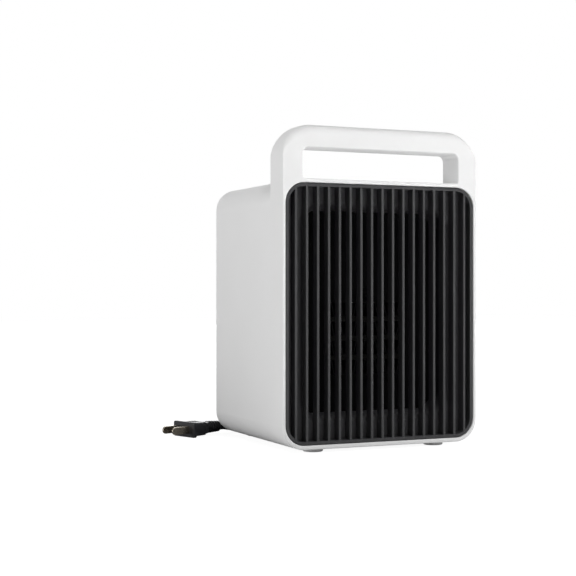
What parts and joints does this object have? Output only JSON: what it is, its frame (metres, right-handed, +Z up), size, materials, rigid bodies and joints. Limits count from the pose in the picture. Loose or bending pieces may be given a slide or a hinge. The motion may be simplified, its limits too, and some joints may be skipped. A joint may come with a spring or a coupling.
{
  "type": "desktop fan heater",
  "caption": "White box-shaped fan heater with a black slatted outlet, a raised handle with a finger opening, push buttons, a rear mains switch and a corded flat-blade plug.",
  "frame": {"origin": "middle of the footprint, in the plane that the undersides of the feet stand on", "axes": "+X to the right of someone who faces the grille, +Y from the grille towards the rear cover (the heater blows towards -Y), +Z up"},
  "size_m": [0.2201, 0.2826, 0.253],
  "materials": {
    "white_plastic": "satin moulded",
    "black_plastic": "satin moulded",
    "heat_resistant_plastic": "matte",
    "grey_rubber": "matte",
    "grey_plastic": "satin moulded",
    "aluminium": "rolled",
    "ceramic": "unglazed ceramic",
    "steel": "zinc plated",
    "nickel_plated_brass": "nickel plated",
    "circuit_board": "green solder mask",
    "cord_pvc": "satin",
    "wire_red": "satin",
    "wire_blue": "satin"
  },
  "bodies": {
    "casing": {"main_housing": "white_plastic", "front_grille": "black_plastic", "outlet_duct": "black_plastic", "heater_frame": "heat_resistant_plastic", "heater_fins_1": "aluminium", "heater_fins_2": "aluminium", "heater_fins_3": "aluminium", "heater_fins_4": "aluminium", "ptc_bar_1": "ceramic", "ptc_bar_2": "ceramic", "ptc_bar_3": "ceramic", "thermostat": "steel", "thermal_fuse": "ceramic", "fan_chassis": "heat_resistant_plastic", "motor_body": "steel", "motor_screw_1": "steel", "motor_screw_2": "steel", "rear_cover": "black_plastic", "cover_screw_1": "steel", "cover_screw_2": "steel", "cover_screw_3": "steel", "cover_screw_4": "steel", "control_panel": "grey_plastic", "control_board": "circuit_board", "button_switch_1": "black_plastic", "button_switch_2": "black_plastic", "rocker_frame": "black_plastic", "tip_over_switch": "black_plastic", "terminal_block": "ceramic", "wire_live": "wire_red", "wire_neutral": "wire_blue", "wire_board": "wire_red", "foot_front_left": "grey_rubber", "foot_front_right": "grey_rubber", "foot_rear_left": "grey_rubber", "foot_rear_right": "grey_rubber", "cord_gland": "cord_pvc", "cord_inner": "cord_pvc", "cord_lead": "cord_pvc", "cord_coil": "cord_pvc", "cord_tail": "cord_pvc", "cord_tie": "black_plastic", "plug_body": "cord_pvc", "plug_blade_1": "nickel_plated_brass", "plug_blade_2": "nickel_plated_brass"},
    "fan": {"fan_impeller": "black_plastic", "motor_shaft": "steel"},
    "power_key": {"power_button": "white_plastic"},
    "heat_key": {"heat_button": "white_plastic"},
    "mains_rocker": {"rocker_key": "black_plastic"}
  },
  "joints": [
    {"name": "fan_spin", "type": "hinge", "parent": "casing", "child": "fan", "pos_m": [0, -0.016, 0.087], "axis": [0, -1, 0], "continuous": true},
    {"name": "power_press", "type": "slide", "parent": "casing", "child": "power_key", "axis": [0, 0, -1], "range_m": [0, 0.001], "stiffness_N_per_m": 300, "springref_m": -0.0005},
    {"name": "heat_press", "type": "slide", "parent": "casing", "child": "heat_key", "axis": [0, 0, -1], "range_m": [0, 0.001], "stiffness_N_per_m": 300, "springref_m": -0.0005},
    {"name": "mains_rock", "type": "hinge", "parent": "casing", "child": "mains_rocker", "pos_m": [-0.052, 0.0679, 0.182], "axis": [-1, 0, 0], "range_deg": [0, 18]}
  ]
}
